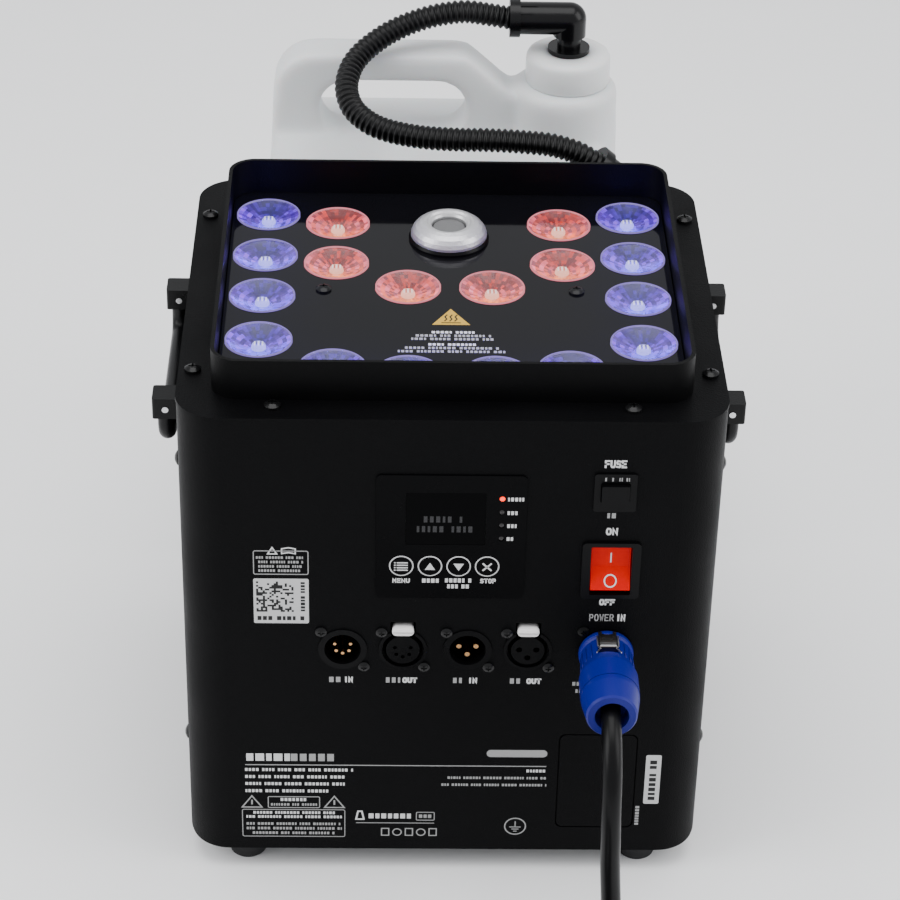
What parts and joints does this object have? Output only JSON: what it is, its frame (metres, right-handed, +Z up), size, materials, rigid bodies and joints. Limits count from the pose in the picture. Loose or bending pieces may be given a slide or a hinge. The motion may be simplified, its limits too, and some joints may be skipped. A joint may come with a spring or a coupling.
{
  "type": "fog machine",
  "caption": "Compact upright fog machine: black steel housing, lit outlet well with nozzle on top, control face, side bail handles and a hose-fed fluid can behind.",
  "frame": {"origin": "on the surface the feet rest on, under the middle of the machine without its lead and hose", "axes": "+Z up, the control face looks along -Y, the fluid can stands behind at +Y, +X is to the right seen from the front"},
  "size_m": [0.271, 0.6019, 0.3069],
  "materials": {
    "housing_paint": "fine-textured black powder coat",
    "rim_paint": "fine-textured black powder coat",
    "panel_gloss": "mirror-gloss black",
    "lens_blue": "clear lens lit blue-violet",
    "lens_amber": "clear lens lit amber",
    "board_green": "circuit board",
    "nozzle_metal": "satin cast metal",
    "black_ring": "satin black",
    "black_steel": "blackened steel",
    "foot_rubber": "matt black rubber",
    "overlay_film": "satin printed film",
    "window_clear": "dark gloss window",
    "lamp_red": "clear red",
    "socket_black": "satin black plastic",
    "contact_gold": "gold plated",
    "tab_white": "white plastic",
    "rocker_red": "translucent red",
    "plug_blue": "satin blue",
    "latch_metal": "satin",
    "pin_metal": "bright",
    "handle_black": "satin black coat",
    "heater_metal": "cast",
    "pump_dark": "dark plastic and steel",
    "supply_metal": "perforated case",
    "can_white": "translucent white polyethylene",
    "hose_black": "corrugated black plastic",
    "cord_black": "black sheath"
  },
  "bodies": {
    "housing": {"base_plate": "housing_paint", "body_shell": "housing_paint", "rear_panel": "housing_paint", "top_plate": "housing_paint", "rim_frame": "rim_paint", "lens_panel": "panel_gloss", "lenses_blue": "lens_blue", "lenses_amber": "lens_amber", "led_board": "board_green", "nozzle_dome": "nozzle_metal", "nozzle_ring": "black_ring", "panel_screws": "black_steel", "top_screws": "black_steel", "case_screws": "black_steel", "feet": "foot_rubber", "control_overlay": "overlay_film", "display_window": "window_clear", "control_board": "board_green", "status_lamps": "lamp_red", "socket_male_5": "socket_black", "socket_female_5": "socket_black", "socket_male_3": "socket_black", "socket_female_3": "socket_black", "socket_pins": "contact_gold", "socket_screws": "black_steel", "breaker_body": "socket_black", "rocker_frame": "socket_black", "power_inlet": "socket_black", "power_plug": "plug_blue", "chuck_nut": "plug_blue", "blank_cover": "housing_paint", "hinge_lugs_left": "handle_black", "hinge_lugs_right": "handle_black", "hinge_pins": "pin_metal", "heater": "heater_metal", "pump": "pump_dark", "power_supply": "supply_metal", "fan_frame": "socket_black", "can_cradle": "housing_paint", "hose": "hose_black", "rear_elbow": "socket_black", "mains_lead": "cord_black", "lead_coil": "cord_black", "lead_tail": "cord_black", "mains_plug": "cord_black"},
    "handle_left": {"handle_left": "handle_black"},
    "handle_right": {"handle_right": "handle_black"},
    "rocker": {"rocker": "rocker_red"},
    "breaker_button": {"breaker_button": "socket_black"},
    "button_menu": {"button_menu": "overlay_film"},
    "button_up": {"button_up": "overlay_film"},
    "button_down": {"button_down": "overlay_film"},
    "button_exit": {"button_exit": "overlay_film"},
    "push_tab_5": {"push_tab_5": "tab_white"},
    "push_tab_3": {"push_tab_3": "tab_white"},
    "plug_latch": {"plug_latch": "latch_metal"},
    "fan_rotor": {"fan_rotor": "socket_black"},
    "fluid_can": {"can": "can_white", "cap_elbow": "socket_black"},
    "can_cap": {"can_cap": "can_white"}
  },
  "joints": [
    {"name": "handle_left_swing", "type": "hinge", "parent": "housing", "child": "handle_left", "pos_m": [-0.1295, -0.06075, 0.213], "axis": [0, 1, 0], "range_deg": [0, 90]},
    {"name": "handle_right_swing", "type": "hinge", "parent": "housing", "child": "handle_right", "pos_m": [0.1295, -0.06075, 0.213], "axis": [0, -1, 0], "range_deg": [0, 90]},
    {"name": "rocker_turn", "type": "hinge", "parent": "housing", "child": "rocker", "pos_m": [0.0713, -0.1803, 0.1755], "axis": [1, 0, 0], "range_deg": [0, 22]},
    {"name": "breaker_reset", "type": "slide", "parent": "housing", "child": "breaker_button", "axis": [0, -1, 0], "range_m": [0, 0.003]},
    {"name": "button_menu_press", "type": "slide", "parent": "housing", "child": "button_menu", "axis": [0, 1, 0], "range_m": [0, 0.0006], "stiffness_N_per_m": 300},
    {"name": "button_up_press", "type": "slide", "parent": "housing", "child": "button_up", "axis": [0, 1, 0], "range_m": [0, 0.0006], "stiffness_N_per_m": 300},
    {"name": "button_down_press", "type": "slide", "parent": "housing", "child": "button_down", "axis": [0, 1, 0], "range_m": [0, 0.0006], "stiffness_N_per_m": 300},
    {"name": "button_exit_press", "type": "slide", "parent": "housing", "child": "button_exit", "axis": [0, 1, 0], "range_m": [0, 0.0006], "stiffness_N_per_m": 300},
    {"name": "push_tab_5_press", "type": "slide", "parent": "housing", "child": "push_tab_5", "axis": [0, 1, 0], "range_m": [0, 0.0012], "stiffness_N_per_m": 400},
    {"name": "push_tab_3_press", "type": "slide", "parent": "housing", "child": "push_tab_3", "axis": [0, 1, 0], "range_m": [0, 0.0012], "stiffness_N_per_m": 400},
    {"name": "latch_slide", "type": "slide", "parent": "housing", "child": "plug_latch", "axis": [0, -1, 0], "range_m": [0, 0.003], "stiffness_N_per_m": 300},
    {"name": "fan_spin", "type": "hinge", "parent": "housing", "child": "fan_rotor", "pos_m": [-0.03, 0.0224, 0.168], "axis": [0, 1, 0], "continuous": true},
    {"name": "can_lift", "type": "slide", "parent": "housing", "child": "fluid_can", "axis": [0, 0, 1], "range_m": [0, 0.05], "deforming": ["hose"]},
    {"name": "cap_turn", "type": "hinge", "parent": "fluid_can", "child": "can_cap", "pos_m": [0.0634, 0.1284, 0.27], "axis": [0, 0, 1], "range_deg": [0, 120]}
  ]
}
